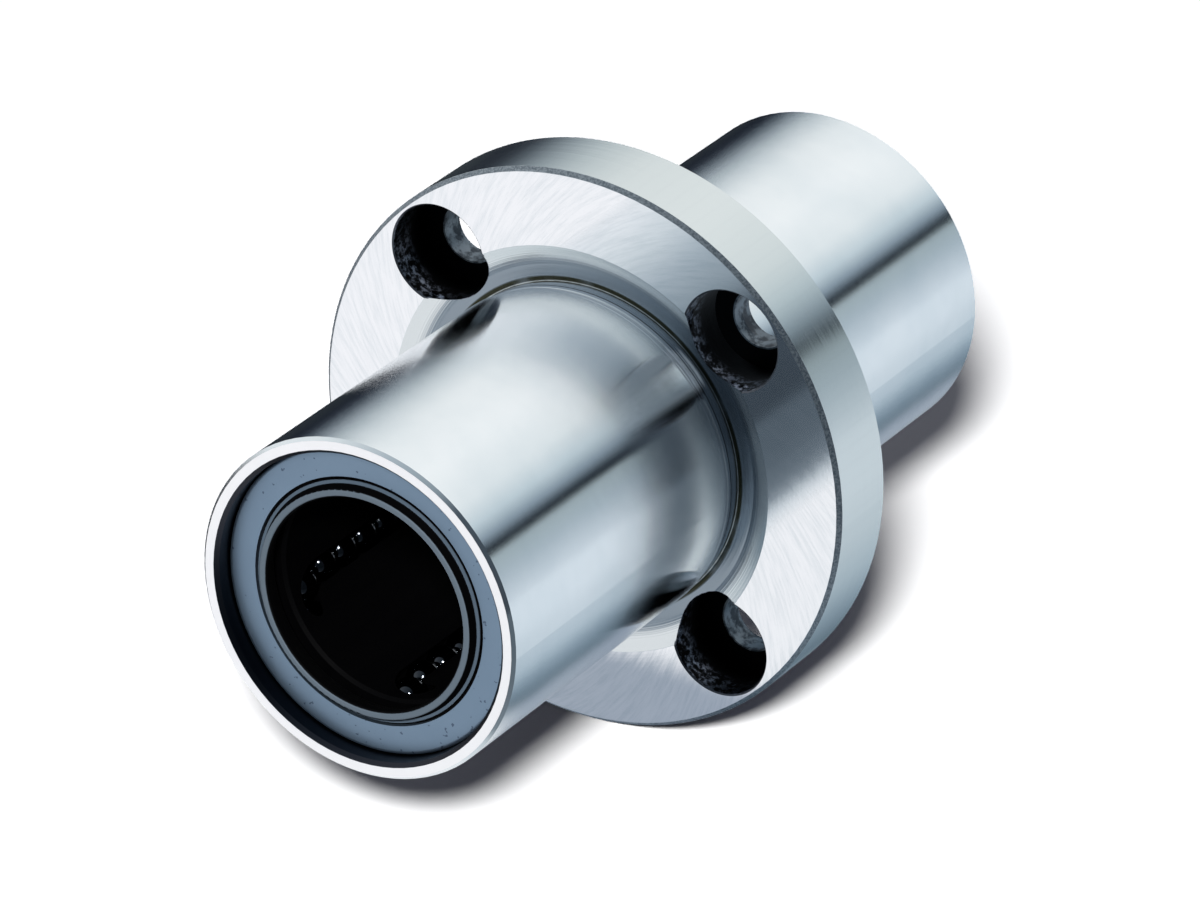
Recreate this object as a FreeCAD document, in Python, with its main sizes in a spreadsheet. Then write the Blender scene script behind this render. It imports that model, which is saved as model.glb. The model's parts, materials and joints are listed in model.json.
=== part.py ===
import FreeCAD, Part
import math
import os
import re

import Sketcher
from FreeCAD import Placement, Rotation, Vector

# Linear ball bearing with a round flange at its middle, for a 20 mm shaft.
# Millimetres. The shaft axis is Y, the origin is the middle of the bearing, and +Z is up.
# The front end, on the side of the counterbores, is at -Y. The rear flange face is the seat.
# Every piece is worked outwards from the shaft: balls, cage, raceways, sleeve, flange.

DRIVING_SIZES = {
    # shaft and balls
    "shaft_dia": 20.0,
    "ball_dia": 3.175,
    "ball_gap": 0.05,  # least space between two balls of a track
    "ball_shaft_gap": 0.02,  # load balls to shaft
    "ball_race_gap": 0.04,  # load balls to raceway
    "ball_return_gap": 0.10,  # return balls to sleeve
    # cage
    "track_count": 5,
    "track_gap": 0.10,  # ball to track wall
    "track_end_wall": 0.75,
    "cage_bore_gap": 0.50,  # shaft to cage
    "cage_sleeve_gap": 0.10,
    "cage_middle_gap": 0.40,  # between the two cages
    "cage_chamfer": 0.30,
    # raceways, raised ribs inside the sleeve
    "race_angle": 16.0,
    "race_ramp": 0.50,
    "race_slot_margin": 1.5,  # slot in the cage beside a raceway, degrees each side
    "race_slot_gap": 0.12,
    # sleeve
    "sleeve_length": 80.0,
    "seat_step": 0.30,  # least step from the bore up to the seal seat
    "rim_wall": 1.50,
    "rim_chamfer": 0.30,
    "mouth_chamfer": 0.37,
    # retaining ring
    "ring_thickness": 0.90,
    "ring_groove_depth": 0.50,
    "ring_height": 1.70,
    "ring_side_gap": 0.05,
    "ring_split_angle": 16.0,
    "ring_corner": 0.20,
    "cage_ring_gap": 0.15,
    # end seal
    "seal_recess": 1.80,
    "seal_thickness": 1.60,
    "seal_fit_gap": 0.02,
    "case_wall": 0.50,
    "case_corner": 0.42,
    "lip_shaft_gap": 0.05,
    "lip_tip_width": 0.78,
    "lip_taper": 0.28,
    "lip_projection": 0.80,
    "lip_land": 0.55,
    "lip_root": 0.75,
    "bead_width": 0.27,
    "bead_groove": 0.32,
    "bead_depth": 0.45,
    "rubber_gap": 0.02,
    # flange and its holes
    "flange_thickness": 8.0,
    "flange_chamfer": 0.40,
    "hole_count": 4,
    "hole_dia": 5.5,
    "head_dia": 9.5,
    "head_floor": 2.6,  # metal left under a screw head
    "head_chamfer": 0.15,
    "head_inner_margin": 0.75,
    "head_outer_margin": 0.75,
    # turned recess in each flange face where the tube meets it, deep in front and shallow at the seat
    "front_recess_width": 3.65,
    "front_recess_floor": 1.40,
    "front_recess_depth": 1.30,
    "front_recess_arc": 6.0,
    "rear_recess_width": 2.60,
    "rear_recess_floor": 0.25,
    "rear_recess_depth": 0.30,
    "rear_recess_arc": 8.0,
    # grinding groove round the tube beside each face
    "root_groove_reach": 1.30,
    "root_groove_depth": 0.22,
}

DERIVED_SIZES = {
    # distances from the shaft axis
    "ball_radius": "ball_dia / 2",
    "load_radius": "shaft_dia / 2 + ball_shaft_gap + ball_radius",
    "turn_radius": "(ball_dia + ball_gap) / sqrt(2)",
    "return_offset": "2 * turn_radius",
    "return_radius": "sqrt(load_radius ^ 2 + return_offset ^ 2)",
    "track_radius": "ball_radius + track_gap",
    "race_radius": "load_radius + ball_radius + ball_race_gap",
    "bore_radius": "return_radius + ball_radius + ball_return_gap",
    "cage_inner_radius": "shaft_dia / 2 + cage_bore_gap",
    "cage_outer_radius": "bore_radius - cage_sleeve_gap",
    "cage_slot_radius": "race_radius - race_slot_gap",
    "race_slot_angle": "race_angle + 2 * race_slot_margin",
    # the seal seat is bored to the next tenth of a millimetre
    "seat_radius": "ceil(10 * (bore_radius + seat_step)) / 10",
    "groove_radius": "seat_radius + ring_groove_depth",
    "sleeve_radius": "seat_radius + rim_wall",
    "ring_outer_radius": "groove_radius - 2 * ring_side_gap",
    "ring_inner_radius": "ring_outer_radius - ring_height",
    "case_outer_radius": "seat_radius - seal_fit_gap",
    "lip_radius": "shaft_dia / 2 + lip_shaft_gap",
    "collar_radius": "lip_radius + lip_tip_width + lip_taper",
    "bead_radius": "collar_radius + bead_width",
    "case_bore_radius": "bead_radius + bead_groove",
    "hole_circle_radius": "sleeve_radius + head_inner_margin + head_dia / 2",
    "flange_radius": "hole_circle_radius + head_dia / 2 + head_outer_margin",
    # distances from the middle plane
    "half_length": "sleeve_length / 2",
    "half_flange": "flange_thickness / 2",
    "seal_face": "half_length - seal_recess",
    "seal_back": "seal_face - seal_thickness",
    "groove_back": "seal_back - ring_thickness - 2 * ring_side_gap",
    "cage_outer_end": "groove_back + ring_side_gap - cage_ring_gap",
    "cage_inner_end": "cage_middle_gap / 2",
    "track_end_length": "track_end_wall + track_radius + turn_radius",
    "track_outer": "cage_outer_end - track_end_length",
    "track_inner": "cage_inner_end + track_end_length",
    "track_length": "track_outer - track_inner",
    # the balls share a straight row out evenly
    "row_count": "floor(track_length / (ball_dia + ball_gap))",
    "ball_pitch": "track_length / row_count",
    "turn_step": "turn_radius * sqrt(2) / 2",
}

SIDES = {"front": -1, "rear": 1}


def add_sheet(doc):
    """The sheet of sizes: driving numbers first, then the ones worked out from them."""
    sheet = doc.addObject("Spreadsheet::Sheet", "dims")
    rows = [(alias, str(value)) for alias, value in DRIVING_SIZES.items()]
    rows += [(alias, "=" + formula) for alias, formula in DERIVED_SIZES.items()]
    for number, (alias, content) in enumerate(rows, start=1):
        sheet.set("A%d" % number, alias)
        sheet.set("B%d" % number, content)
        sheet.setAlias("B%d" % number, alias)
    doc.recompute()
    return sheet


def in_sheet(formula):
    """A formula of aliases, written as an expression that reads them from the sheet."""
    return re.sub(r"\b([a-z]+_\w+)\b", r"dims.\1", formula)


def value_of(sheet, formula):
    return float(sheet.evalExpression(in_sheet(formula)))


def origin_feature(body, role):
    return next(item for item in body.Origin.OriginFeatures if item.Role == role)


def add_sketch(body, name, plane="XY_Plane"):
    sketch = body.newObject("Sketcher::SketchObject", name)
    sketch.AttachmentSupport = [(origin_feature(body, plane), "")]
    sketch.MapMode = "FlatFace"
    return sketch


def arc_between(start, end, radius):
    """The short arc from start to end. A positive radius puts its centre on the left."""
    chord = end - start
    rise = math.sqrt(max(radius * radius - chord.Length ** 2 / 4, 0.0))
    left = Vector(-chord.y, chord.x, 0).normalize()
    side = 1 if radius > 0 else -1
    centre = (start + end) / 2 + left * rise * side
    angles = [math.atan2(p.y - centre.y, p.x - centre.x) for p in (start, end)]
    if side < 0:
        angles.reverse()
    circle = Part.Circle(centre, Vector(0, 0, 1), abs(radius))
    return Part.ArcOfCircle(circle, angles[0], angles[1])


def bind_size(sketch, constraint, formula):
    number = sketch.addConstraint(constraint)
    sketch.setExpression("Constraints[%d]" % number, in_sheet(formula))


def bind_point(sketch, geometry, end, corner, point):
    """Ties one end of an edge to two distances from the sketch's origin."""
    for kind, formula, size in zip(("DistanceX", "DistanceY"), corner, point):
        bind_size(sketch, Sketcher.Constraint(kind, -1, 1, geometry, end, size), formula)


def bind_arc(sketch, geometry, corner, radius, chord):
    """Ties an arc to its radius, or a half circle to the height of its centre."""
    if 2 * abs(radius) - chord > 1e-6:
        formula = corner[2] if radius > 0 else "-(%s)" % corner[2]
        bind_size(sketch, Sketcher.Constraint("Radius", geometry, abs(radius)), formula)
    else:
        centre = sketch.Geometry[geometry].Center
        bind_size(sketch, Sketcher.Constraint("DistanceY", -1, 1, geometry, 3, centre.y), corner[1])


def add_outline(sheet, sketch, corners):
    """A closed outline. A corner is (x, y), or (x, y, radius) where an arc leaves it."""
    points = [Vector(value_of(sheet, c[0]), value_of(sheet, c[1]), 0) for c in corners]
    edges = []
    for number, corner in enumerate(corners):
        start = points[number]
        end = points[(number + 1) % len(points)]
        ends = (1, 2)
        if len(corner) == 2:
            geometry = sketch.addGeometry(Part.LineSegment(start, end))
        else:
            radius = value_of(sheet, corner[2])
            geometry = sketch.addGeometry(arc_between(start, end, radius))
            bind_arc(sketch, geometry, corner, radius, (end - start).Length)
            if radius < 0:
                ends = (2, 1)
        bind_point(sketch, geometry, ends[0], corner, (start.x, start.y))
        edges.append((geometry, ends))
    for (geometry, ends), (following, next_ends) in zip(edges, edges[1:] + edges[:1]):
        sketch.addConstraint(
            Sketcher.Constraint("Coincident", geometry, ends[1], following, next_ends[0]))


def add_turned(sheet, body, name, outlines, kind="PartDesign::Revolution", angle=None):
    """Turns outlines about the shaft axis, all the way or through an angle."""
    sketch = add_sketch(body, name + "_outline")
    for corners in outlines:
        add_outline(sheet, sketch, corners)
    feature = body.newObject(kind, name)
    feature.Profile = sketch
    feature.ReferenceAxis = (origin_feature(body, "Y_Axis"), [""])
    feature.Angle = 360
    if angle:
        feature.Midplane = True
        feature.setExpression("Angle", in_sheet(angle))
    return feature


def add_ring_pattern(body, name, features, count):
    """Repeats features evenly about the shaft axis."""
    pattern = body.newObject("PartDesign::PolarPattern", name)
    pattern.Originals = features
    pattern.Axis = (origin_feature(body, "Y_Axis"), [""])
    pattern.Angle = 360
    pattern.setExpression("Occurrences", in_sheet(count))
    body.Tip = pattern
    return pattern


def tilt_sketch(sketch, angle):
    """Turns a sketch plane that holds the shaft axis about that axis."""
    sketch.AttachmentOffset = Placement(Vector(), Rotation(Vector(0, 1, 0), angle))


def sleeve_half(side):
    """The half section of the sleeve on one side, from its mouth in and out to the flange edge."""
    bore = [
        ("bore_radius", "groove_back"),
        ("groove_radius", "groove_back"),
        ("groove_radius", "seal_back"),
        ("seat_radius", "seal_back"),
        ("seat_radius", "half_length - mouth_chamfer"),
        ("seat_radius + mouth_chamfer", "half_length"),
    ]
    neck = "sleeve_radius - root_groove_depth"
    groove_end = "half_flange + root_groove_reach"
    recess = side + "_recess_"
    floor = "half_flange - " + recess + "depth"
    outside = [
        ("sleeve_radius - rim_chamfer", "half_length"),
        ("sleeve_radius", "half_length - rim_chamfer"),
        ("sleeve_radius", groove_end),
        (neck, groove_end + " - root_groove_depth"),
        (neck, floor),
        ("sleeve_radius + " + recess + "floor", floor, recess + "arc"),
        ("sleeve_radius + " + recess + "width", "half_flange"),
        ("flange_radius - flange_chamfer", "half_flange"),
        ("flange_radius", "half_flange - flange_chamfer"),
    ]
    return bore + outside


def mirrored(corners):
    """The same corners on the other side of the middle plane, in reverse order."""
    result = []
    for number in range(len(corners) - 1, -1, -1):
        point = (corners[number][0], "-(%s)" % corners[number][1])
        previous = corners[number - 1]
        if len(previous) == 3 and number > 0:
            point += (previous[2],)
        result.append(point)
    return result


def make_sleeve(doc, sheet):
    """One piece of steel: tube, middle flange, raceways, seal seats and ring grooves."""
    body = doc.addObject("PartDesign::Body", "flanged_sleeve")
    section = sleeve_half("rear") + mirrored(sleeve_half("front"))
    add_turned(sheet, body, "sleeve_blank", [section])
    doc.recompute()

    # raised raceways, one on each load row, with a ramp at each end
    race_root = "(bore_radius + seat_radius) / 2"
    ribs = []
    for side in ("", "-"):
        ends = [side + "track_outer", side + "track_inner"]
        ramps = [side + "(track_outer - race_ramp)", side + "(track_inner + race_ramp)"]
        ribs.append([
            ("race_radius", ramps[0]),
            ("race_radius", ramps[1]),
            (race_root, ends[1]),
            (race_root, ends[0]),
        ])
    ways = add_turned(sheet, body, "raceway", ribs, angle="race_angle")
    tilt_sketch(ways.Profile[0], 90)
    doc.recompute()
    add_ring_pattern(body, "raceways", [ways], "track_count")
    doc.recompute()

    # counterbored screw holes, between the axes
    sketch = add_sketch(body, "screw_hole_outline")
    tilt_sketch(sketch, 45)
    radius = value_of(sheet, "hole_circle_radius")
    axis = sketch.addGeometry(
        Part.LineSegment(Vector(radius, -1, 0), Vector(radius, 1, 0)), True)
    for end, height in ((1, "-half_flange"), (2, "half_flange")):
        bind_point(sketch, axis, end, ("hole_circle_radius", height),
                   (radius, value_of(sheet, height)))
    over = "half_flange + 2 * head_chamfer"
    head_edge = "hole_circle_radius + head_dia / 2"
    hole_edge = "hole_circle_radius + hole_dia / 2"
    add_outline(sheet, sketch, [
        ("hole_circle_radius", "-(%s)" % over),
        (head_edge + " + 2 * head_chamfer", "-(%s)" % over),
        (head_edge + " + head_chamfer", "-half_flange"),
        (head_edge, "-half_flange + head_chamfer"),
        (head_edge, "half_flange - head_floor"),
        (hole_edge, "half_flange - head_floor"),
        (hole_edge, "half_flange - head_chamfer"),
        (hole_edge + " + 3 * head_chamfer", over),
        ("hole_circle_radius", over),
    ])
    hole = body.newObject("PartDesign::Groove", "screw_hole")
    hole.Profile = sketch
    hole.ReferenceAxis = (sketch, ["Axis0"])
    hole.Angle = 360
    doc.recompute()
    add_ring_pattern(body, "screw_holes", [hole], "hole_count")
    return body


def make_case(doc, sheet, end):
    """The seal's pressed case: a flat front ring with a wall that grips the seat."""
    body = doc.addObject("PartDesign::Body", end + "_seal_case")
    add_turned(sheet, body, end + "_case_section", [[
        ("case_bore_radius", "seal_face - case_wall"),
        ("case_outer_radius - case_wall", "seal_face - case_wall"),
        ("case_outer_radius - case_wall", "seal_back"),
        ("case_outer_radius", "seal_back"),
        ("case_outer_radius", "seal_face - case_corner", "case_corner"),
        ("case_outer_radius - case_corner", "seal_face"),
        ("case_bore_radius", "seal_face"),
    ]])
    return body


def make_lip(doc, sheet, end):
    """The rubber in the case, with the collar that stands out and wipes the shaft."""
    body = doc.addObject("PartDesign::Body", end + "_seal_lip")
    tip = "seal_face + lip_projection"
    tip_corner = "lip_tip_width / 4"
    tip_outer = "lip_radius + lip_tip_width"
    groove_floor = "seal_face - bead_depth"
    rubber_front = "seal_face - case_wall - rubber_gap"
    rubber_edge = "case_outer_radius - case_wall - rubber_gap"
    add_turned(sheet, body, end + "_lip_section", [[
        ("lip_radius", tip + " - " + tip_corner),
        ("lip_radius + " + tip_corner, tip),
        (tip_outer + " - " + tip_corner, tip, "-(%s)" % tip_corner),
        (tip_outer, tip + " - " + tip_corner),
        ("collar_radius", "seal_face"),
        ("bead_radius", "seal_face"),
        ("bead_radius", groove_floor),
        ("case_bore_radius - rubber_gap", groove_floor),
        ("case_bore_radius - rubber_gap", rubber_front),
        (rubber_edge, rubber_front),
        (rubber_edge, "seal_back"),
        ("lip_radius + lip_root", "seal_back"),
        ("lip_radius", tip + " - " + tip_corner + " - lip_land"),
    ]])
    return body


def make_ring(doc, sheet, end):
    """The split wire ring that holds the cage in."""
    body = doc.addObject("PartDesign::Body", end + "_retaining_ring")
    front = "seal_back - ring_side_gap"
    back = front + " - ring_thickness"
    wire = add_turned(sheet, body, end + "_ring_section", [[
        ("ring_inner_radius", back + " + ring_corner"),
        ("ring_inner_radius + ring_corner", back),
        ("ring_outer_radius - ring_corner", back),
        ("ring_outer_radius", back + " + ring_corner"),
        ("ring_outer_radius", front + " - ring_corner"),
        ("ring_outer_radius - ring_corner", front),
        ("ring_inner_radius + ring_corner", front),
        ("ring_inner_radius", front + " - ring_corner"),
    ]], angle="360 - ring_split_angle")
    tilt_sketch(wire.Profile[0], 90)
    return body


def make_cage(doc, sheet, end):
    """The moulded cage: a tube with five closed ball tracks cut into its outside."""
    body = doc.addObject("PartDesign::Body", end + "_cage")
    add_turned(sheet, body, end + "_cage_tube", [[
        ("cage_inner_radius + cage_chamfer", "cage_inner_end"),
        ("cage_outer_radius - cage_chamfer", "cage_inner_end"),
        ("cage_outer_radius", "cage_inner_end + cage_chamfer"),
        ("cage_outer_radius", "cage_outer_end - cage_chamfer"),
        ("cage_outer_radius - cage_chamfer", "cage_outer_end"),
        ("cage_inner_radius + cage_chamfer", "cage_outer_end"),
        ("cage_inner_radius", "cage_outer_end - cage_chamfer"),
        ("cage_inner_radius", "cage_inner_end + cage_chamfer"),
    ]])
    doc.recompute()

    # slots that let the cage slide in over the raceways, open at its inner end
    slot_end = "track_outer + race_ramp"
    slot = add_turned(sheet, body, end + "_raceway_slot", [[
        ("cage_slot_radius", "cage_inner_end - cage_middle_gap"),
        ("cage_outer_radius + cage_chamfer", "cage_inner_end - cage_middle_gap"),
        ("cage_outer_radius + cage_chamfer", slot_end),
        ("cage_slot_radius", slot_end),
    ]], kind="PartDesign::Groove", angle="race_slot_angle")
    tilt_sketch(slot.Profile[0], 90)
    doc.recompute()

    # one track: a round-bottomed groove swept along straight, turn, straight, turn
    path = add_sketch(body, end + "_track_path")
    path.setExpression("AttachmentOffset.Base.z", in_sheet("-load_radius"))
    add_outline(sheet, path, [
        ("0", "track_inner"),
        ("0", "track_outer", "turn_radius"),
        ("-return_offset", "track_outer"),
        ("-return_offset", "track_inner", "turn_radius"),
    ])
    section = add_sketch(body, end + "_track_section", "XZ_Plane")
    section.setExpression("AttachmentOffset.Base.z", in_sheet("-track_inner"))
    add_outline(sheet, section, [
        ("track_radius", "-load_radius", "track_radius"),
        ("-track_radius", "-load_radius"),
        ("-track_radius", "-(cage_outer_radius + track_radius)"),
        ("track_radius", "-(cage_outer_radius + track_radius)"),
    ])
    track = body.newObject("PartDesign::SubtractivePipe", end + "_track")
    track.Profile = section
    track.Spine = (path, ["Edge%d" % number for number in range(1, 5)])
    doc.recompute()
    add_ring_pattern(body, end + "_tracks", [slot, track], "track_count")
    return body


def make_balls(doc, name, places, turn):
    """Balls at places worked out from the sheet, the group turned about the shaft axis."""
    balls = []
    for number, (across, along) in enumerate(places, start=1):
        ball = doc.addObject("Part::Sphere", "%s_ball_%d" % (name, number))
        ball.setExpression("Radius", in_sheet("ball_radius"))
        ball.setExpression("Placement.Base.x", in_sheet(across))
        ball.setExpression("Placement.Base.y", in_sheet(along))
        ball.setExpression("Placement.Base.z", in_sheet("-load_radius"))
        balls.append(ball)
    group = doc.addObject("Part::Compound", name)
    group.Links = balls
    group.Placement = Placement(Vector(), Rotation(Vector(0, 1, 0), 1))
    group.setExpression("Placement.Rotation.Angle", in_sheet(turn))
    return group


def make_track_balls(doc, sheet, end, number):
    """The balls of one track: a load row, a return row, and a pair in each turn."""
    sign = "-" if SIDES[end] < 0 else ""
    across = "%sreturn_offset * -1" % sign
    side = "%s1" % sign
    row_size = int(value_of(sheet, "row_count"))
    along = ["%s * (track_inner + (%d + 0.5) * ball_pitch)" % (side, ball)
             for ball in range(row_size)]
    ends = {"inner": "%s * (track_inner - turn_step)" % side,
            "outer": "%s * (track_outer + turn_step)" % side}
    turn = "-%d * 360 / track_count" % (number - 1)
    groups = [
        make_balls(doc, "%s_load_row_%d" % (end, number),
                   [("0", place) for place in along], turn),
        make_balls(doc, "%s_return_row_%d" % (end, number),
                   [(across, place) for place in along], turn),
    ]
    for place, height in ends.items():
        pair = [("%s * -(turn_radius - turn_step)" % side, height),
                ("%s * -(turn_radius + turn_step)" % side, height)]
        groups.append(make_balls(doc, "%s_%s_turn_%d" % (end, place, number), pair, turn))
    return groups


def build(doc):
    sheet = add_sheet(doc)
    pieces = [make_sleeve(doc, sheet)]
    for end, side in SIDES.items():
        for maker in (make_case, make_lip, make_ring, make_cage):
            piece = maker(doc, sheet, end)
            if side < 0:
                piece.Placement = Placement(Vector(), Rotation(Vector(0, 0, 1), 180))
            pieces.append(piece)
        for number in range(1, int(value_of(sheet, "track_count")) + 1):
            pieces += make_track_balls(doc, sheet, end, number)
    for piece in pieces:
        piece.Label = piece.Name
    doc.recompute()
    return pieces


def check(doc, pieces):
    """Stops if an object failed, or a piece has no sound solid."""
    for item in doc.Objects:
        bad = [word for word in item.State if word in ("Invalid", "Error")]
        if bad:
            raise RuntimeError("%s is %s" % (item.Name, bad))
    for piece in pieces:
        if piece.Shape.isNull() or not piece.Shape.isValid() or not piece.Shape.Solids:
            raise RuntimeError("%s has no sound shape" % piece.Label)


def main():
    doc = FreeCAD.newDocument("linear_ball_bearing")
    pieces = build(doc)
    check(doc, pieces)
    os.makedirs("parts", exist_ok=True)
    for piece in pieces:
        piece.Shape.exportStep(os.path.join("parts", piece.Label + ".step"))
        print("%-24s %3d solid(s) %10.3f mm3" % (
            piece.Label, len(piece.Shape.Solids), piece.Shape.Volume))


main()
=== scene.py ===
import json
import math
from types import SimpleNamespace

import bpy
from mathutils import Matrix, Vector


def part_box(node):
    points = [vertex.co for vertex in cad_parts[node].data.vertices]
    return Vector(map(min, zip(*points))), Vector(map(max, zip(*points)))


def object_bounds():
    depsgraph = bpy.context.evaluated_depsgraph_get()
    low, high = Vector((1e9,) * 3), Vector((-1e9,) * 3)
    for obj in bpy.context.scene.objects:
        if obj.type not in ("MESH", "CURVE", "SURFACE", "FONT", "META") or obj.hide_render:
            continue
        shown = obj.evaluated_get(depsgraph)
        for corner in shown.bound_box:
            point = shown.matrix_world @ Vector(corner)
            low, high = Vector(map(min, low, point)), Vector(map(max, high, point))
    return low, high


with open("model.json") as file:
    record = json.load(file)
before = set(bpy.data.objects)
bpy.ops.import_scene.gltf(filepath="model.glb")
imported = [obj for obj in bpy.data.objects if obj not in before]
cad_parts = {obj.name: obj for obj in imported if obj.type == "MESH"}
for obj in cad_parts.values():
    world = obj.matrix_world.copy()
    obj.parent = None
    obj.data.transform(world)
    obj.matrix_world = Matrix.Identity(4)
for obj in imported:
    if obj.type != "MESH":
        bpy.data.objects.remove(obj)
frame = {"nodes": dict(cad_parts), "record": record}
nodes = frame["nodes"]
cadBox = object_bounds()
mm = 0.001


# an output socket that takes part in sums: 1 - mask and the like add their Math nodes
class Signal:
    def __init__(self, shader, socket):
        self.shader = shader
        self.socket = socket

    def maths(self, operation, *others):
        return self.shader.maths(operation, self, *others)

    def __add__(self, other):
        return self.maths("ADD", other)

    def __sub__(self, other):
        return self.maths("SUBTRACT", other)

    def __mul__(self, other):
        return self.maths("MULTIPLY", other)

    def __truediv__(self, other):
        return self.maths("DIVIDE", other)

    def __rsub__(self, other):
        return self.shader.maths("SUBTRACT", other, self)

    def __rtruediv__(self, other):
        return self.shader.maths("DIVIDE", other, self)

    __radd__ = __add__
    __rmul__ = __mul__


# a node tree that put() fills: a node's type, its settings, then the values or links of its sockets
class Shader:
    def __init__(self, tree):
        self.tree = tree
        tree.nodes.clear()

    def put(self, kind, settings=None, sockets=None, out=0):
        node = self.tree.nodes.new(kind)
        for name, value in (settings or {}).items():
            if name == "stops":
                self.fillRamp(node.color_ramp, value)
            else:
                setattr(node, name, value)
        for name, value in (sockets or {}).items():
            if isinstance(value, Signal):
                self.tree.links.new(value.socket, node.inputs[name])
            else:
                node.inputs[name].default_value = value
        return Signal(self, node.outputs[out]) if node.outputs else node

    def fillRamp(self, ramp, stops):
        ramp.elements.remove(ramp.elements[-1])
        ramp.elements[0].position, ramp.elements[0].color = stops[0]
        for place, colour in stops[1:]:
            ramp.elements.new(place).color = colour

    def maths(self, operation, *values):
        return self.put("ShaderNodeMath", {"operation": operation}, dict(enumerate(values)))

    def step(self, value, low, high):  # 0 up to low, 1 from high on, smooth between
        return self.put("ShaderNodeMapRange", {"interpolation_type": "SMOOTHSTEP"},
                        {"Value": value, "From Min": low, "From Max": high})

    def band(self, value, low, high, soft):  # 1 between low and high
        rise = self.step(value, low - soft, low + soft)
        return rise - self.step(value, high - soft, high + soft)

    def blend(self, share, a, b):  # the number that goes from a to b
        return self.put("ShaderNodeMix", {"data_type": "FLOAT"}, {0: share, 2: a, 3: b})

    def tint(self, share, a, b):  # the colour that goes from a to b
        return self.put("ShaderNodeMix", {"data_type": "RGBA"}, {0: share, 6: a, 7: b}, out=2)

    def aim(self, share, a, b):  # the direction that goes from a to b
        return self.put("ShaderNodeMix", {"data_type": "VECTOR"}, {0: share, 4: a, 5: b}, out=1)

    def layers(self, mix, value, *covers):  # a value under covers, each laid on where its mask is 1
        for mask, cover in covers:
            value = mix(mask, value, cover)
        return value

    def vector(self, operation, *values, out=0):
        return self.put("ShaderNodeVectorMath", {"operation": operation}, dict(enumerate(values)), out)

    def join(self, **axes):
        return self.put("ShaderNodeCombineXYZ", None, axes)

    def split(self, vector):
        return [self.put("ShaderNodeSeparateXYZ", None, {0: vector}, out=i) for i in range(3)]

    def noise(self, place, scale, detail=2.0, roughness=0.5):
        return self.put("ShaderNodeTexNoise", None,
                        {"Vector": place, "Scale": scale, "Detail": detail, "Roughness": roughness})

    def lines(self, along, scale, detail=1.0):  # noise in one direction only, for tool marks
        return self.put("ShaderNodeTexNoise", {"noise_dimensions": "1D"},
                        {"W": along, "Scale": scale, "Detail": detail})

    def bump(self, height, strength, distance, normal=None):
        sockets = {"Height": height, "Strength": strength, "Distance": distance * mm}
        if normal:
            sockets["Normal"] = normal
        return self.put("ShaderNodeBump", None, sockets)

    def toneRamp(self, stops, span, along):  # tones that stand at places from -span / 2 to span / 2
        shares = [(place / span + 0.5, colourOf(tone)) for place, tone in stops]
        return self.put("ShaderNodeValToRGB", {"stops": shares}, {"Fac": along / span + 0.5})

    def rays(self, kind):
        return self.put("ShaderNodeLightPath", out=kind)

    def seenRays(self):  # 1 for rays that look straight at a thing or through glass
        return self.rays("Is Camera Ray").maths("MAXIMUM", self.rays("Is Transmission Ray"))

    def dullRays(self):  # 1 for light that a dull surface has sent on
        return self.rays("Diffuse Depth").maths("MINIMUM", 1)


def colourOf(text):  # "#c8d2d2" as Blender's linear colour
    shares = [int(text[i:i + 2], 16) / 255 for i in (1, 3, 5)]
    return tuple(s / 12.92 if s <= 0.04045 else ((s + 0.055) / 1.055) ** 2.4 for s in shares) + (1,)


def tonesOf(look):  # the colours among a piece's values
    return {name: colourOf(value) for name, value in look.items() if isinstance(value, str)}


def newFinish(name):
    material = bpy.data.materials.new(name)
    material.use_nodes = True
    return material, Shader(material.node_tree)


def closeFinish(shader, **sockets):
    named = {name.replace("_", " "): value for name, value in sockets.items()}
    surface = shader.put("ShaderNodeBsdfPrincipled", None, named)
    shader.put("ShaderNodeOutputMaterial", None, {"Surface": surface})


def placeOnPart(shader):  # millimetres on the part, with the shaft axis along y
    return shader.vector("MULTIPLY", shader.put("ShaderNodeTexCoord", out="Object"), (1 / mm, 1 / mm, 1 / mm))


def roundTheShaft(shader, place):  # the distance from the shaft axis, and the way out from it
    outwards = shader.vector("MULTIPLY", place, (1, 0, 1))
    return shader.vector("LENGTH", outwards, out="Value"), shader.vector("NORMALIZE", outwards)


def mountNamed(name):
    return next(mount for mount in frame["record"]["mounts"] if mount["name"] == name)


# sizes of the part, in millimetres, read from the frame
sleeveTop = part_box("flanged_sleeve")[1] / mm
bolts = mountNamed("flange_bolts")
part = {
    "end": sleeveTop.y,
    "rim": sleeveTop.x,
    "tube": mountNamed("rear_spigot")["dims"]["r_mm"],
    "face": bolts["pos_m"][1] / mm,
    "seat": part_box("front_seal_case")[1].x / mm,
    "lipTip": -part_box("front_seal_lip")[0].y / mm,
    "boltSide": bolts["dims"]["pcd_mm"] / 2 * math.sqrt(0.5),
    "boltHole": bolts["dims"]["hole_r_mm"],
    "ground": cadBox[0].z / mm,
}
print("sizes read", part)


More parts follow.
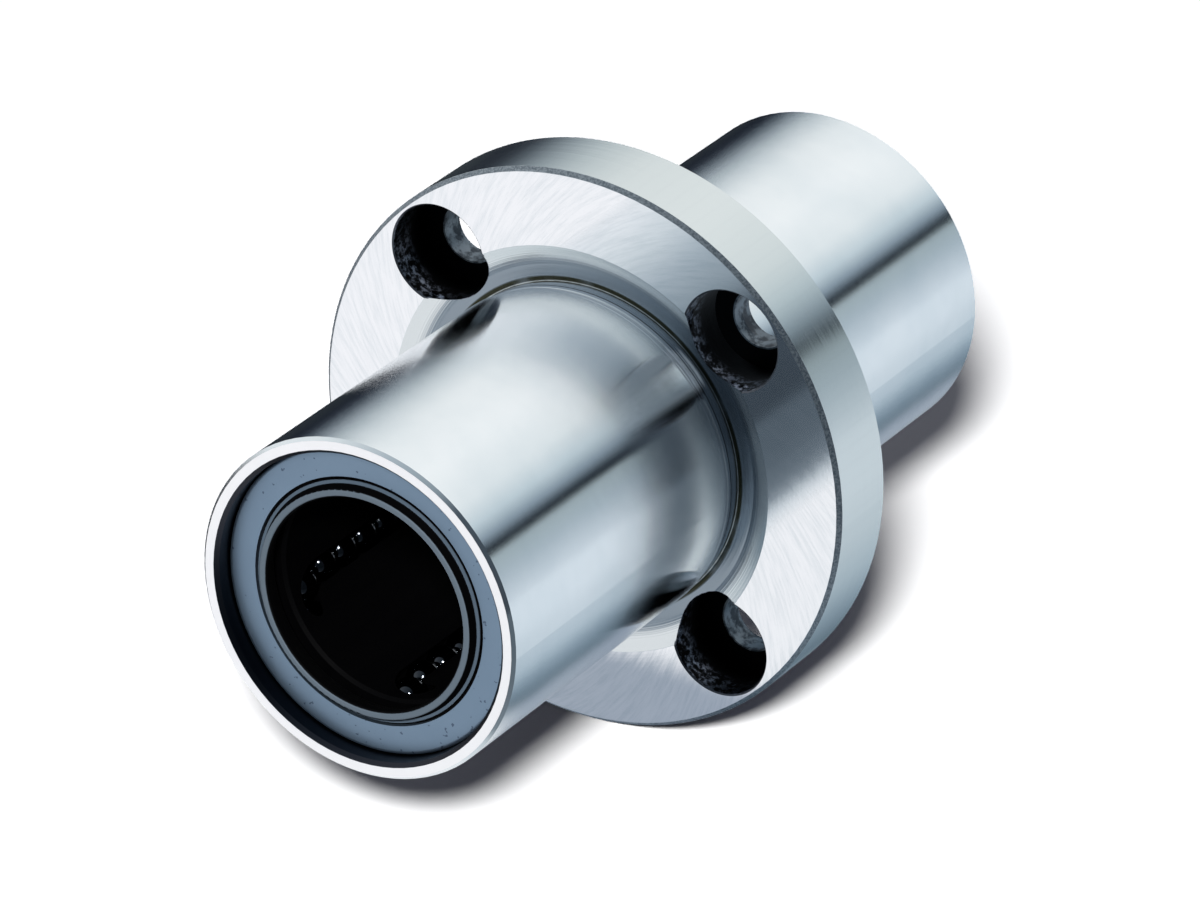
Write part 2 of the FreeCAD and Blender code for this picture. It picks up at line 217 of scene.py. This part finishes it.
# ground and polished steel: tube, turned flange and dark screw holes, all on one node
sleeveLook = {
    "tubeColour": "#eff4f6", "tubeShade": "#e7eef1", "tubeRoughness": 0.08, "smudgeScale": 0.16,
    "tubeGrind": 0.27, "grindScale": 900.0, "tubeMarks": 0.02, "marksScale": 12.0,
    "faceColour": "#f6f7fa", "faceShade": "#e6eaee", "faceRoughness": 0.09,
    "faceTurn": 0.02, "ringScale": 9.0, "swirl": 1.1, "swirlTilt": 0.06, "arcScale": 42.0,
    "rimColour": "#dce3e3", "rimRoughness": 0.19, "rimTurn": 0.04, "ridgeScale": 2.6,
    "chamferWidth": 0.4, "chamferColour": "#848d95", "chamferLight": "#b2bac0",
    "chamferRoughness": 0.6, "speckScale": 5.5,
    "recessWidth": 3.65, "recessDepth": 1.3, "recessColour": "#dfe4e6", "recessShade": "#8b96a0",
    "recessRoughness": 0.22, "recessFlat": 1.1, "recessTurn": 0.4, "slopeFrom": 1.6, "slopeTo": 2.6,
    "grooveReach": 1.3, "grooveColour": "#f2f6f9", "grooveLine": "#4a535c",
    "grooveTilt": 0.35, "grooveLean": 0.2, "oilColour": "#34362b",
    "headRadius": 4.75, "headFloor": 1.4, "headEdge": 0.15, "headEdgeColour": "#5d6067",
    "headEdgeRoughness": 0.4, "holeRoughness": 0.5, "holeColour": "#07080a", "holeStain": "#858c9b",
    "stainTo": -0.6, "stainFade": 2, "stainScale": 1.5,
    "pitScale": 0.8, "pitStrength": 0.35, "pitDepth": 0.12,
    "boltHoleColour": "#7c8790", "boltHoleStain": "#3f474f",
    # painted light on the upper right hole's wall, seen only in the tube
    "holeGlow": "#6f7982", "glowFrom": 37.5, "glowTo": 74, "glowSoft": 3,
    "endColour": "#fbfbfd", "mouthColour": "#33353c", "endRoughness": 0.3,
}


# where each surface lies, as a mask that is 1 on it; the small numbers are how far, in millimetres,
# a mask reaches past its surface or takes to fade
def sleeveZones(s, place, look):
    x, y, z = s.split(place)
    radius, outwards = roundTheShaft(s, place)
    height = y.maths("ABSOLUTE")
    tube, flat, top = part["tube"], part["face"], part["rim"]
    deep = flat - look["recessDepth"]
    recessEnd = tube + look["recessWidth"]
    chamferFrom = top - look["chamferWidth"]

    outside = s.step(radius, tube - 0.9, tube - 0.8)
    onFlange = (1 - s.step(height, flat + 0.05, flat + 0.1)) * s.step(radius, tube + 0.3, tube + 0.5)
    face = s.step(height, flat - 0.02, flat - 0.01) * onFlange
    rim = onFlange * s.step(radius, top - 0.02, top - 0.01)
    chamfer = onFlange * s.step(radius, chamferFrom - 0.01, chamferFrom + 0.01) * (1 - rim) * (1 - face)
    ring = s.step(radius, tube - 0.15, tube - 0.1) - s.step(radius, recessEnd, recessEnd + 0.05)
    recess = outside * s.band(height, deep - 0.1, flat - 0.015, 0.005) * ring
    groove = outside * s.band(height, deep + 0.02, flat + look["grooveReach"], 0.02)
    groove = groove * (1 - s.step(radius, tube - 0.05, tube))
    # painted shade in the corner where the recess floor meets the tube, in patches
    cornerShade = s.band(radius, tube - 0.2, tube + 0.25, 0.1) * outside
    cornerShade = cornerShade * s.band(height, deep - 0.1, deep + 0.18, 0.05)
    endFace = s.step(height, part["end"] - 0.02, part["end"] - 0.01)
    inside = (1 - s.step(radius, part["seat"] + 0.55, part["seat"] + 0.7)) * (1 - endFace)

    # a hole is wide where a screw's head goes in, and narrow behind that
    sideways, upwards = [axis.maths("ABSOLUTE") - part["boltSide"] for axis in (x, z)]
    fromHole = s.vector("LENGTH", s.join(X=sideways, Z=upwards), out="Value")
    head, headFloor = look["headRadius"], look["headFloor"]
    wide = 1 - s.step(fromHole, head + 0.02, head + 0.06)
    wide = wide * (1 - s.step(y, headFloor + 0.03, headFloor + 0.06))
    narrow = 1 - s.step(fromHole, part["boltHole"] + 0.1, part["boltHole"] + 0.2)
    narrow = narrow * (1 - s.step(y, flat - 0.03, flat))
    headEdge = s.band(fromHole, head + 0.02, head + look["headEdge"], 0.01)
    headEdge = headEdge * (1 - s.step(y, 0.2 - flat, 0.3 - flat))
    return SimpleNamespace(
        y=y, radius=radius, outwards=outwards, height=height, turn=s.maths("ARCTAN2", z, x),
        face=face, rim=rim, chamfer=chamfer, recess=recess, groove=groove, cornerShade=cornerShade, endFace=endFace,
        inside=inside, narrow=narrow, hole=wide.maths("MAXIMUM", narrow), headEdge=headEdge)


# tool marks and dirt: rings on the flange face with arcs that cross them, lines round the tube, stains
def sleeveMarks(s, place, zone, look):
    swirl = zone.turn + look["swirl"] * zone.radius.maths("LOGARITHM", math.e)
    swirled = s.join(X=swirl.maths("COSINE"), Y=swirl.maths("SINE"), Z=zone.radius * 0.01)
    rings = s.lines(zone.radius, look["ringScale"])
    slopeFrom, slopeTo = part["tube"] + look["slopeFrom"], part["tube"] + look["slopeTo"]
    stain = s.step(s.noise(place, look["stainScale"], 5.0, 0.75), 0.46, 0.62)
    return SimpleNamespace(
        arcs=s.noise(swirled, look["arcScale"], 4.0, 0.65), rings=rings,
        grind=s.lines(zone.y, look["grindScale"]), fine=s.lines(zone.y, look["marksScale"]),
        ridges=s.lines(zone.y, look["ridgeScale"], 2.0), smudge=s.noise(place, look["smudgeScale"], 3.0),
        speck=s.noise(place, look["speckScale"], 3.0, 0.6),
        pits=s.noise(place, look["pitScale"], 4.0, 0.65),
        slope=s.step(zone.radius + (rings - 0.5) * 0.8, slopeFrom, slopeTo),
        stain=stain * (1 - s.step(zone.y, look["stainTo"] - look["stainFade"], look["stainTo"])))


# the tool marks tilt the surface outwards and along the shaft, and pits roughen holes and chamfer
def sleeveNormal(s, zone, marks, look):
    rings, ridges = marks.rings - 0.5, marks.ridges - 0.5
    tiltOut = zone.face * (rings * look["faceTurn"] + (marks.arcs - 0.5) * look["swirlTilt"])
    tiltOut = tiltOut + zone.recess * rings * look["recessTurn"]
    along = (marks.grind - 0.5) * s.blend(zone.rim, look["tubeGrind"], 0.0)
    along = along + (marks.fine - 0.5) * look["tubeMarks"]
    along = along + ridges * (zone.rim * look["rimTurn"] + zone.groove * look["grooveTilt"])
    tiltAlong = (1 - zone.face) * (1 - zone.hole) * (1 - zone.inside) * along * 2
    flatter = zone.recess * marks.slope * look["recessFlat"] + zone.groove * look["grooveLean"]
    tiltAlong = tiltAlong + flatter * zone.y.maths("SIGN")
    marked = s.vector("MULTIPLY", zone.outwards, tiltOut)
    marked = s.vector("ADD", s.put("ShaderNodeNewGeometry", out="Normal"), marked)
    marked = s.vector("NORMALIZE", s.vector("ADD", marked, s.join(Y=tiltAlong)))
    pitted = s.bump(marks.pits, look["pitStrength"], look["pitDepth"], marked)
    return s.aim(zone.hole + zone.chamfer, marked, pitted)


def sleeveColour(s, zone, marks, look):
    tone = tonesOf(look)
    flat = part["face"]
    # painted shade: a dark line in the groove where the tube goes into the recess, and a faint dark line
    # further out
    lineDark = s.band(zone.height, flat - 0.22, flat - 0.08, 0.04)
    lineDark = lineDark + s.band(zone.height, flat + 0.55, flat + 0.62, 0.05) * 0.4
    # painted shade: the screw holes are near black inside, with paler stains on their walls
    holeTone = s.tint(marks.stain, tone["holeColour"], tone["holeStain"])
    boltTone = s.tint(s.step(marks.pits, 0.42, 0.6), tone["boltHoleColour"], tone["boltHoleStain"])
    return s.layers(
        s.tint, s.tint(s.step(marks.smudge, 0.3, 0.8), tone["tubeColour"], tone["tubeShade"]),
        (zone.groove, s.tint(lineDark, tone["grooveColour"], tone["grooveLine"])),
        (zone.rim, tone["rimColour"]),
        (zone.face, s.tint(s.step(marks.arcs, 0.35, 0.75), tone["faceColour"], tone["faceShade"])),
        # painted shade: the recess is darker on its inner part, by the tube
        (zone.recess, s.tint(marks.slope, tone["recessShade"], tone["recessColour"])),
        # painted shade, in patches, in the corner by the tube
        (zone.cornerShade * s.step(marks.smudge, 0.2, 0.5), tone["oilColour"]),
        (zone.chamfer, s.tint(s.step(marks.speck, 0.4, 0.6), tone["chamferColour"], tone["chamferLight"])),
        (zone.endFace, tone["endColour"]),
        # painted shade: the sleeve's steel is dark inside its mouth
        (zone.inside, tone["mouthColour"]),
        (zone.hole, s.tint(zone.narrow, holeTone, boltTone)),
        (zone.headEdge, tone["headEdgeColour"]))


def sleeveRoughness(s, zone, marks, look):
    return s.layers(
        s.blend, look["tubeRoughness"] + marks.smudge * 0.03,
        (zone.rim, look["rimRoughness"] + (marks.ridges - 0.5) * 0.1),
        (zone.face, look["faceRoughness"] + (marks.arcs - 0.5) * 0.08),
        (zone.recess, look["recessRoughness"]),
        (zone.chamfer, look["chamferRoughness"] + marks.speck * 0.1),
        (zone.endFace, look["endRoughness"]),
        (zone.inside, look["endRoughness"]),
        (zone.hole, look["holeRoughness"] - marks.stain * 0.2),
        (zone.headEdge, look["headEdgeRoughness"]))


# painted light: the upper right hole's wall glows on its paler side, and only the tube's mirror image of it
# shows the glow
def sleevePaintedLight(s, zone, look):
    low, high, soft = [math.radians(look[name]) for name in ("glowFrom", "glowTo", "glowSoft")]
    paintedLight = s.band(zone.turn, low, high, soft) * (zone.hole - zone.narrow) * s.rays("Is Glossy Ray")
    return s.tint(paintedLight, (0, 0, 0, 1), colourOf(look["holeGlow"]))


def makeSleeveSteel(look):
    material, s = newFinish("bearing_steel")
    place = placeOnPart(s)
    zone = sleeveZones(s, place, look)
    marks = sleeveMarks(s, place, zone, look)
    closeFinish(s, Base_Color=sleeveColour(s, zone, marks, look), Metallic=1.0,
                Roughness=sleeveRoughness(s, zone, marks, look), Normal=sleeveNormal(s, zone, marks, look),
                Emission_Color=sleevePaintedLight(s, zone, look), Emission_Strength=1.0)
    return material


# pressed seal case, blue-grey satin coat
caseLook = {
    "colour": "#768ba0", "light": "#8196ab", "cloudScale": 0.35, "metal": 0.9, "roughness": 0.38,
    "speck": "#56667a", "speckScale": 1.9, "speckFrom": 0.72, "speckTo": 0.76,
    "grainScale": 14.0, "grainStrength": 0.25, "grainDepth": 0.03,
}


def makeCaseCoat(look):
    material, s = newFinish("seal_case")
    place = placeOnPart(s)
    tone = tonesOf(look)
    cloud = s.noise(place, look["cloudScale"], 3.0)
    specks = s.step(s.noise(place, look["speckScale"], 1.0), look["speckFrom"], look["speckTo"])
    grain = s.noise(place, look["grainScale"], 2.0)
    closeFinish(s, Base_Color=s.tint(specks, s.tint(cloud, tone["colour"], tone["light"]), tone["speck"]),
                Metallic=look["metal"], Roughness=look["roughness"] + cloud * 0.1,
                Normal=s.bump(grain, look["grainStrength"], look["grainDepth"]))
    return material


# black rubber, its black partly painted shade in the bore, with painted sheen: grey-blue on the lip's tip,
# and a paler painted highlight on a bead round it
lipLook = {
    "rubber": "#020203", "tip": "#8393a1", "tipWidth": 0.1, "roughness": 0.75, "tipRoughness": 0.5,
    "bead": 11.24, "beadWidth": 0.3, "beadTop": 38.2, "beadColour": "#6d7f90", "shine": 0.06,
    "grainScale": 9.0, "grainStrength": 0.3, "grainDepth": 0.04,
}


def makeLipRubber(look):
    material, s = newFinish("seal_rubber")
    place = placeOnPart(s)
    tone = tonesOf(look)
    height = s.split(place)[1].maths("ABSOLUTE")
    radius = roundTheShaft(s, place)[0]
    halfBead = look["beadWidth"] / 2
    bead = s.band(radius, look["bead"] - halfBead, look["bead"] + halfBead, 0.02)
    bead = bead * s.step(height, look["beadTop"] - 0.12, look["beadTop"] - 0.05)
    # painted sheen: the tip's face and the bead are painted grey-blue on the black rubber
    tip = s.step(height, part["lipTip"] - look["tipWidth"], part["lipTip"] - 0.02)
    grain = s.noise(place, look["grainScale"], 3.0)
    rubber = s.tint(tip * s.blend(grain, 0.8, 1.0), tone["rubber"], tone["tip"])
    closeFinish(s, Base_Color=s.tint(bead, rubber, tone["beadColour"]),
                Roughness=s.blend(tip, look["roughness"], look["tipRoughness"]),
                Normal=s.bump(grain, look["grainStrength"], look["grainDepth"]),
                Specular_IOR_Level=look["shine"])
    return material


# dark spring steel of the retaining rings
ringLook = {
    "colour": "#53575d", "dark": "#3d4046", "roughness": 0.32, "cloudScale": 0.8,
    "marksScale": 8.0, "marksStrength": 0.3, "marksDepth": 0.03,
}


def makeRingSteel(look):
    material, s = newFinish("ring_steel")
    place = placeOnPart(s)
    tone = tonesOf(look)
    marks = s.lines(roundTheShaft(s, place)[0], look["marksScale"])
    closeFinish(s, Base_Color=s.tint(s.noise(place, look["cloudScale"], 3.0), tone["colour"], tone["dark"]),
                Metallic=1.0, Roughness=look["roughness"] + marks * 0.12,
                Normal=s.bump(marks, look["marksStrength"], look["marksDepth"]))
    return material


# black moulded cage, matt, with the flow lines of the moulding along it; its near black is partly its own and
# partly painted shade in the bore
cageLook = {
    "colour": "#010102", "flow": "#040405", "flowScale": 0.6, "flowStretch": 0.15, "roughness": 0.6,
    "shine": 0.05, "grainScale": 4.0, "grainStrength": 0.3, "grainDepth": 0.05,
}


def makeCagePolymer(look):
    material, s = newFinish("cage_polymer")
    place = placeOnPart(s)
    tone = tonesOf(look)
    flow = s.noise(s.vector("MULTIPLY", place, (1, look["flowStretch"], 1)), look["flowScale"], 2.0)
    grain = s.noise(place, look["grainScale"], 3.0)
    closeFinish(s, Base_Color=s.tint(flow, tone["colour"], tone["flow"]),
                Roughness=look["roughness"] + flow * 0.1,
                Normal=s.bump(grain, look["grainStrength"], look["grainDepth"]),
                Specular_IOR_Level=look["shine"])
    return material


# lapped balls, painted dark for the shade in the bore, with a mottled film
ballLook = {
    "colour": "#44484d", "film": "#34373b", "filmScale": 1.3, "roughness": 0.05,
    "filmStrength": 0.1, "filmDepth": 0.02,
}


def makeBallSteel(look):
    material, s = newFinish("ball_steel")
    tone = tonesOf(look)
    film = s.noise(placeOnPart(s), look["filmScale"], 2.0)
    closeFinish(s, Base_Color=s.tint(film, tone["colour"], tone["film"]), Metallic=1.0,
                Roughness=look["roughness"] + film * 0.04,
                Normal=s.bump(film, look["filmStrength"], look["filmDepth"]))
    return material


# each finish under the word that its nodes have in their names
finishes = {
    "flanged_sleeve": makeSleeveSteel(sleeveLook),
    "seal_case": makeCaseCoat(caseLook),
    "seal_lip": makeLipRubber(lipLook),
    "retaining_ring": makeRingSteel(ringLook),
    "cage": makeCagePolymer(cageLook),
    "row": makeBallSteel(ballLook),
}
finishes["turn"] = finishes["row"]

for name, node in nodes.items():
    kind = next(word for word in finishes if word in name)
    node.data.materials.clear()
    node.data.materials.append(finishes[kind])
print("finishes on", len(nodes), "pieces")


# pale floor that keeps the part's shadow; the polished steel sees painted shade on it instead: glowing
# tones, in millimetres across the shaft, behind the flange and before it, dark beside the tube and to the
# sides
floorLook = {
    "radius": 300, "segments": 96, "colour": 0.9, "seen": 2.35, "grain": 0.01, "grainScale": 0.9,
    "behind": [(-60, "#2a3036"), (-25, "#a5aeb8"), (12, "#9ea9b7"), (17, "#5f727f"), (25, "#8fa1b0"),
               (32, "#b6c5d1"), (45, "#d0dae3"), (70, "#e1e9f1")],
    "before": [(-60, "#fbfcfe"), (10, "#f6f8fa"), (17, "#d0d7dc"), (22, "#7e8891"), (34, "#69737c"),
               (60, "#5e6871")],
    "span": 200, "turnFrom": -20, "turnTo": -14,
}


def makeFloorPaint(look):
    material, s = newFinish("floor_paint")
    place = placeOnPart(s)
    x, y = s.split(place)[:2]
    grain = (s.noise(place, look["grainScale"], 2.0) - 0.5) * look["grain"]
    level = s.blend(s.seenRays(), look["colour"], look["seen"]) + grain
    grey = s.put("ShaderNodeCombineColor", None, {"Red": level, "Green": level, "Blue": level})
    paint = s.put("ShaderNodeBsdfDiffuse", None, {"Color": grey})
    # painted shade: these tones glow for mirrored rays alone, where a shadow beside the tube would lie
    behind, before = [s.toneRamp(look[side], look["span"], x) for side in ("behind", "before")]
    tone = s.tint(s.step(y, look["turnFrom"], look["turnTo"]), before, behind)
    mirrored = s.rays("Is Glossy Ray") * (1 - s.dullRays())
    shown = s.put("ShaderNodeMixShader", None, {
        0: mirrored, 1: paint, 2: s.put("ShaderNodeEmission", None, {"Color": tone})})
    s.put("ShaderNodeOutputMaterial", None, {"Surface": shown})
    return material


def makeFloor(look):
    steps = [2 * math.pi * i / look["segments"] for i in range(look["segments"])]
    reach, ground = look["radius"] * mm, part["ground"] * mm
    mesh = bpy.data.meshes.new("floor")
    corners = [(reach * math.cos(a), reach * math.sin(a), ground) for a in steps]
    mesh.from_pydata(corners, [], [list(range(look["segments"]))])
    mesh.materials.append(makeFloorPaint(look))
    floor = bpy.data.objects.new("floor", mesh)
    bpy.context.scene.collection.objects.link(floor)
    return floor


floor = makeFloor(floorLook)

# the studio's panels, lit and dark, that the polished steel shows, behind the flange and before it:
# degrees round the shaft axis from +X towards +Z, and the tone that stands there
studio = {
    "behind": [
        (-180, "#181d29"), (-145, "#161b26"), (-120, "#b8c0c6"), (-30, "#dde1ea"), (-10, "#d6dfe8"),
        (10, "#aebbc5"), (22.5, "#a4b1b6"), (24.5, "#0c1118"), (28, "#18202a"), (35, "#8e9daa"),
        (45, "#cbd7de"), (60, "#eef2f4"), (90, "#fcfdfe"), (125, "#f4f6f7"), (145, "#d0d7db"),
        (160, "#98a2aa"), (172, "#4a535e"), (180, "#181d29")],
    "before": [
        (-180, "#fafbfd"), (-90, "#a0a6ae"), (-60, "#3c444c"), (-30, "#3f474f"), (30, "#454e57"),
        (56, "#4c5660"), (76, "#909ca5"), (107, "#b4bec6"), (137, "#e2e7ea"), (180, "#fafbfd")],
    "turnFrom": -0.15, "turnTo": 0.25, "ambient": 0.018, "shade": "#b4b7ee",
}


def makeStudio(look):
    world = bpy.data.worlds.new("studio")
    bpy.context.scene.world = world
    world.use_nodes = True
    s = Shader(world.node_tree)
    x, y, z = s.split(s.put("ShaderNodeTexCoord", out="Generated"))
    turn = s.maths("ARCTAN2", z, x).maths("DEGREES")
    behind, before = [s.toneRamp(look[side], 360, turn) for side in ("behind", "before")]
    dull = s.dullRays()
    tone = s.layers(s.tint, before, (s.step(y, look["turnFrom"], look["turnTo"]), behind),
                    (dull, colourOf(look["shade"])), (s.seenRays(), (1, 1, 1, 1)))
    strength = s.blend(dull, 1.0, look["ambient"])
    sky = s.put("ShaderNodeBackground", None, {"Color": tone, "Strength": strength})
    s.put("ShaderNodeOutputWorld", None, {"Surface": sky})


makeStudio(studio)

# camera of the photograph, in the part's own frame: millimetres and degrees, near and far in metres
camera = {
    "place": (323.2, -536.46, 323.38), "azimuth": 31.082, "elevation": 27.430, "roll": 1.516,
    "lens": 235.95, "sensor": 36, "near": 0.05, "far": 20,
}


def makeCamera(look):
    a, e, roll = [math.radians(look[name]) for name in ("azimuth", "elevation", "roll")]
    back = Vector((math.sin(a) * math.cos(e), -math.cos(a) * math.cos(e), math.sin(e)))
    data = bpy.data.cameras.new("camera")
    data.lens = look["lens"]
    data.sensor_width = look["sensor"]
    data.clip_start, data.clip_end = look["near"], look["far"]
    seat = bpy.data.objects.new("camera", data)
    turned = (-back).to_track_quat("-Z", "Y").to_matrix() @ Matrix.Rotation(roll, 3, "Z")
    seat.matrix_world = Matrix.Translation(Vector(look["place"]) * mm) @ turned.to_4x4()
    bpy.context.scene.collection.objects.link(seat)
    bpy.context.scene.camera = seat
    return seat


seat = makeCamera(camera)

# one soft lamp, a little above and to the left of the camera: degrees, millimetres and watts
lamp = {"left": 3.6, "up": 8.0, "distance": 2500, "width": 360, "power": 50}


def makeLamp(look, seat):
    right, up, back = [seat.matrix_world.to_3x3().col[i] for i in range(3)]
    aside, above = [math.tan(math.radians(look[name])) for name in ("left", "up")]
    way = (back - right * aside + up * above).normalized()
    data = bpy.data.lights.new("key_lamp", "AREA")
    data.shape = "DISK"
    data.size = look["width"] * mm
    data.energy = look["power"]
    data.cycles.max_bounces = 0  # no light of it comes back off the polished tube into the shadow
    key = bpy.data.objects.new("key_lamp", data)
    turned = way.to_track_quat("Z", "Y").to_matrix().to_4x4()
    key.matrix_world = Matrix.Translation(way * look["distance"] * mm) @ turned
    bpy.context.scene.collection.objects.link(key)
    return key


# the polished sleeve shows the studio's tones alone, without the glare of the lamp
def keepLampOff(key, word):
    lit = bpy.data.collections.new("lit_by_the_lamp")
    for thing in [floor] + [node for name, node in nodes.items() if word not in name]:
        lit.objects.link(thing)
    key.light_linking.receiver_collection = lit


keepLampOff(makeLamp(lamp, seat), "sleeve")
print("stage, lamp and camera set")

bpy.context.scene.view_settings.view_transform = "Standard"
